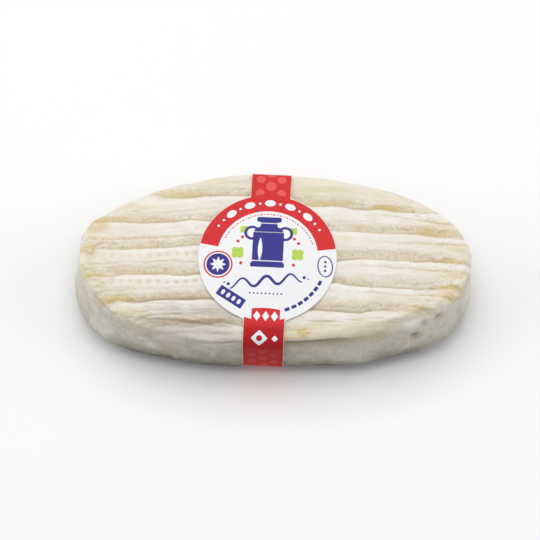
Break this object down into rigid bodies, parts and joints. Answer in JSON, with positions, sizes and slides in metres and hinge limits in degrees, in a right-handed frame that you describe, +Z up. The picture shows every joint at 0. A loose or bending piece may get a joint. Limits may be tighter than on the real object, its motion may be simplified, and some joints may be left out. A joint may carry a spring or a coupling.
{
  "type": "goat cheese",
  "caption": "Long oval soft goat cheese with a ribbed bloomy rind, wrapped round the middle by a printed paper band with a round label.",
  "frame": {"origin": "on the floor, under the middle of the bounding box of the cheese in its band", "axes": "+Z up, X along the cheese, -Y towards the front edge, where the strap comes down from the label in the picture"},
  "size_m": [0.1298, 0.0631, 0.0263],
  "materials": {
    "bloomy_rind": "matte, velvety, cream with yellow and grey patches",
    "printed_paper": "coated paper with a slight sheen, printed red on white"
  },
  "bodies": {
    "root": {"cheese": "bloomy_rind", "paper_band": "printed_paper"}
  },
  "joints": []
}
